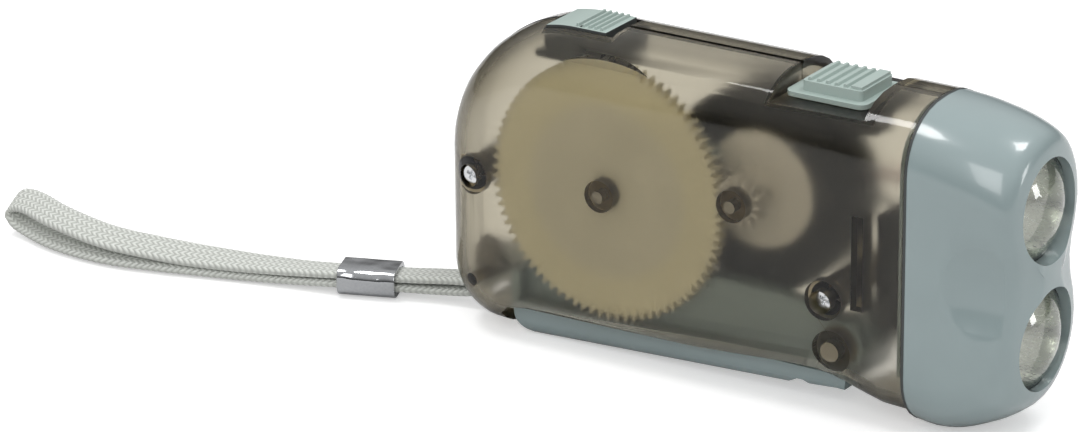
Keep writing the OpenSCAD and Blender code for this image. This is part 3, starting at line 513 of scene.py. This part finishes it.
BOSSES = [(GEAR_AT, 2.6 * MM), (ROTOR_AT, 2.6 * MM), (PIVOT_AT, 3.3 * MM),
          (REAR_SCREW_AT, 3.2 * MM), (FRONT_SCREW_AT, 3.2 * MM), (POST_AT, 1.0 * MM)]
BOSS_MARGIN = 0.05 * MM
RIB_FROM_Y = -10 * MM


def painted_shade_depth(place):
    """How deep the painted shade is at a place: most on the rib, half on the bosses, none elsewhere."""
    if abs(place.x - RIB_X) < RIB_HALF and RIB_LOW < place.z < RIB_TOP and RIB_FROM_Y < place.y < 0:
        return 1.0
    for at, r in BOSSES:
        if math.hypot(place.x - at[0], place.z - at[1]) < r + BOSS_MARGIN:
            return 0.5
    return 0.0


def dress_shell(node, side):
    """A shell whose outer skin is glossy; every face that looks inward or was cut is frosted, and faces
    over the bosses and the rib carry painted shade.
    """
    piece = dress(node, smoke, degrees=30)
    frost = piece.data.attributes.new("frost", "FLOAT", "FACE")
    boss = piece.data.attributes.new("boss", "FLOAT", "FACE")
    for face, rough, dark in zip(piece.data.polygons, frost.data, boss.data):
        inward = face.normal.y * side < 0.001
        rough.value = 1.0 if inward else 0.0
        dark.value = painted_shade_depth(face.center)


def dress_lens(node):
    """A lens whose dome is drawn out to the front of the head's rim."""
    piece = dress(node, lens_clear, degrees=30)
    for v in piece.data.vertices:
        v.co.x += max(0.0, v.co.x - LENS_RIM_X) * LENS_BULGE


dress_shell("right_shell", -1)
dress_shell("left_shell", 1)
dress("head", blue_grey, degrees=30)
dress("lever", blue_grey, edge=0.25 * MM)
dress("switch_button", button_grey, edge=0.12 * MM)
lock = dress("lock_button", button_grey, edge=0.12 * MM)
# Painted shade: the lock's faces below this height are dark grey, for the shadow on its lower side.
lock.data.materials.append(painted_shade_grey)
for face in lock.data.polygons:
    face.material_index = 1 if face.center.z < LOCK_PAINTED_SHADE_Z else 0
for name in ("upper_lens", "lower_lens"):
    dress_lens(name)
for name in ("upper_reflector", "lower_reflector"):
    dress(name, mirror, degrees=30)
for name in ("rear_screw", "front_screw"):
    dress(name, bright_screw, edge=0.08 * MM)
for name in ("gear_axle", "rotor_axle", "lever_pin"):
    dress(name, pin_end, shrink=0.04 * MM)
dress("rotor_pinion", hub_grey)
dress("main_gear", cream_gear)
for name in ("upper_led", "lower_led", "flywheel", "ring_magnet", "drive_pinion",
             "lever_spring", "cell_pack", "bobbin", "winding", "inner_plate", "outer_plate",
             "red_lead", "black_lead"):
    dress(name, materials_of[slot_of[name]])


# Small dark pieces: painted shadow lines in the seams, and the knot on the strap's end in painted shade

SEAM_X = 33 * MM
SEAM_GAP = 0.15 * MM
TAIL_CENTRE = Vector((-29.8, 0, 30.1)) * MM
TAIL_R = 22.2 * MM
TAIL_SHADOW_HALF = 0.25 * MM
TAIL_SHADOW_DEPTH = 0.2 * MM
TAIL_SHADOW_START = math.radians(-16)
TAIL_SHADOW_SWEEP = math.radians(-40)
BAND_W = 0.6 * MM
BAND_OUT = 0.05 * MM
KNOT_AT = Vector((-46.6, -3.2, 10.4)) * MM
KNOT_SIZE = (2.9 * MM, 3.0 * MM, 3.7 * MM, 1)
KNOT_FOLD = 0.25 * MM


def make_tail_shadow_line():
    """A painted shadow: a dark strip in the parting line round the tail's upper corner, behind the lock."""
    bm = bmesh.new()
    start = Matrix.Translation(TAIL_CENTRE + Vector((0, 0, TAIL_R - TAIL_SHADOW_DEPTH)))
    lie = start @ Matrix.Rotation(math.pi / 2, 4, "Y") @ Matrix.Diagonal((TAIL_SHADOW_HALF, TAIL_SHADOW_HALF, 1, 1))
    made = bmesh.ops.create_grid(bm, x_segments=1, y_segments=1, size=1, matrix=lie)["verts"]
    turn = Matrix.Rotation(TAIL_SHADOW_START, 3, "Y")
    bmesh.ops.rotate(bm, verts=made, cent=TAIL_CENTRE, matrix=turn)
    strip = list({f for v in made for f in v.link_faces})
    bmesh.ops.spin(bm, geom=strip, cent=TAIL_CENTRE, axis=(0, 1, 0), angle=TAIL_SHADOW_SWEEP, steps=16)
    bmesh.ops.recalc_face_normals(bm, faces=bm.faces)
    add_piece(bm, "tail_painted_shadow", "housing", painted_shade_grey)


def make_seam_shadow_band():
    """A painted shadow: a dark band round the head's rear edge where the seam's gap lies in shade, cut from
    a copy of the head.
    """
    bm = bmesh.new()
    bm.from_mesh(cad_nodes["head"].data)
    bmesh.ops.remove_doubles(bm, verts=bm.verts, dist=MERGE)
    for place, direction in ((SEAM_X + BAND_W, 1), (SEAM_X + SEAM_GAP / 2, -1)):
        bmesh.ops.bisect_plane(bm, geom=bm.verts[:] + bm.edges[:] + bm.faces[:], plane_co=(place, 0, 0),
                               plane_no=(direction, 0, 0), clear_outer=True)
    for v in bm.verts:
        v.co += v.normal * BAND_OUT
    add_piece(bm, "seam_painted_shadow", "housing", painted_shade_grey)


def make_strap_knot():
    """The knot on the strap's end, behind the post, coloured as the strap in shade: painted shade."""
    bm = bmesh.new()
    place = Matrix.Translation(KNOT_AT) @ Matrix.Diagonal(KNOT_SIZE)
    bmesh.ops.create_icosphere(bm, subdivisions=3, radius=1, matrix=place)
    for v in bm.verts:
        fold = math.sin(v.co.z / MM * 2.1 + v.co.y / MM) * math.cos(v.co.x / MM * 1.7)
        v.co += v.normal * KNOT_FOLD * fold
    add_piece(bm, "strap_knot", "housing", strap_end_in_painted_shade, 60)


make_tail_shadow_line()
make_seam_shadow_band()
make_strap_knot()


# Floor and light

FLOOR_GREY = (0.75, 0.75, 0.75, 1)
FLOOR_GLOW = 0.45
ROOM_STOPS = [(0.3, 0.28), (0.48, 0.05), (0.58, 0.18), (0.75, 0.75), (1.0, 1.0)]
ROOM_STRENGTH = 0.8
LIGHT_AIM = Vector((20, 0, 30)) * MM
LIGHT_DISTANCE = 0.8


def straight_view(tree):
    """1 for what the camera sees directly or straight through clear pieces, 0 for all other rays."""
    rays = tree.nodes.new("ShaderNodeLightPath")
    through = math_node(tree, "MAXIMUM", rays.outputs["Is Camera Ray"], rays.outputs["Is Transmission Ray"])
    straight = math_node(tree, "LESS_THAN", rays.outputs["Glossy Depth"], 0.5)
    return math_node(tree, "MULTIPLY", through, straight)


def make_floor():
    bm = bmesh.new()
    bmesh.ops.create_grid(bm, x_segments=1, y_segments=1, size=3)
    mesh = bpy.data.meshes.new("floor")
    bm.to_mesh(mesh)
    bm.free()
    floor = bpy.data.objects.new("floor", mesh)
    scene.collection.objects.link(floor)
    material, tree, shader = new_material("pale_floor")
    shader.inputs["Base Color"].default_value = FLOOR_GREY
    shader.inputs["Roughness"].default_value = 0.9
    shader.inputs["Specular IOR Level"].default_value = 0.0
    seen = straight_view(tree)
    glow = tree.nodes.new("ShaderNodeEmission")
    glow.inputs["Strength"].default_value = FLOOR_GLOW
    none = tree.nodes.new("ShaderNodeEmission")
    none.inputs["Strength"].default_value = 0
    pick = tree.nodes.new("ShaderNodeMixShader")
    tree.links.new(seen, pick.inputs["Fac"])
    tree.links.new(none.outputs["Emission"], pick.inputs[1])
    tree.links.new(glow.outputs["Emission"], pick.inputs[2])
    both = tree.nodes.new("ShaderNodeAddShader")
    tree.links.new(shader.outputs["BSDF"], both.inputs[0])
    tree.links.new(pick.outputs["Shader"], both.inputs[1])
    tree.links.new(both.outputs["Shader"], tree.nodes["Material Output"].inputs["Surface"])
    mesh.materials.append(material)


def make_world():
    world = bpy.data.worlds.new("studio")
    scene.world = world
    world.use_nodes = True
    tree = world.node_tree
    fill = tree.nodes["Background"]
    direction = tree.nodes.new("ShaderNodeTexCoord").outputs["Generated"]
    parts = tree.nodes.new("ShaderNodeSeparateXYZ")
    tree.links.new(direction, parts.inputs["Vector"])
    height = math_node(tree, "MULTIPLY_ADD", parts.outputs["Z"], 0.5, 0.5)
    tree.links.new(ramp(tree, height, ROOM_STOPS), fill.inputs["Color"])
    fill.inputs["Strength"].default_value = ROOM_STRENGTH
    white = tree.nodes.new("ShaderNodeBackground")
    white.inputs["Color"].default_value = (1, 1, 1, 1)
    seen = straight_view(tree)
    pick = tree.nodes.new("ShaderNodeMixShader")
    tree.links.new(seen, pick.inputs["Fac"])
    tree.links.new(fill.outputs["Background"], pick.inputs[1])
    tree.links.new(white.outputs["Background"], pick.inputs[2])
    tree.links.new(pick.outputs["Shader"], tree.nodes["World Output"].inputs["Surface"])


def softbox(name, azimuth, elevation, size, radiance):
    """A rectangular light that faces the lamp from the given direction, as bright as radiance all over."""
    around, above = math.radians(azimuth), math.radians(elevation)
    level = math.cos(above)
    direction = Vector((level * math.cos(around), level * math.sin(around), math.sin(above)))
    data = bpy.data.lights.new(name, "AREA")
    data.shape = "RECTANGLE"
    data.size, data.size_y = size
    data.energy = radiance * math.pi * size[0] * size[1]
    lamp = bpy.data.objects.new(name, data)
    lamp.location = LIGHT_AIM + direction * LIGHT_DISTANCE
    lamp.rotation_mode = "QUATERNION"
    lamp.rotation_quaternion = (-direction).to_track_quat("-Z", "Y")
    scene.collection.objects.link(lamp)


make_floor()
make_world()
softbox("top_left_light", azimuth=-150, elevation=66, size=(0.26, 0.16), radiance=12)
softbox("front_light", azimuth=-75, elevation=36, size=(0.36, 0.44), radiance=3.6)
softbox("top_right_light", azimuth=45, elevation=64, size=(0.2, 0.24), radiance=12)
softbox("lens_light", azimuth=21, elevation=9, size=(0.14, 0.18), radiance=7)
scene.view_settings.view_transform = "Standard"
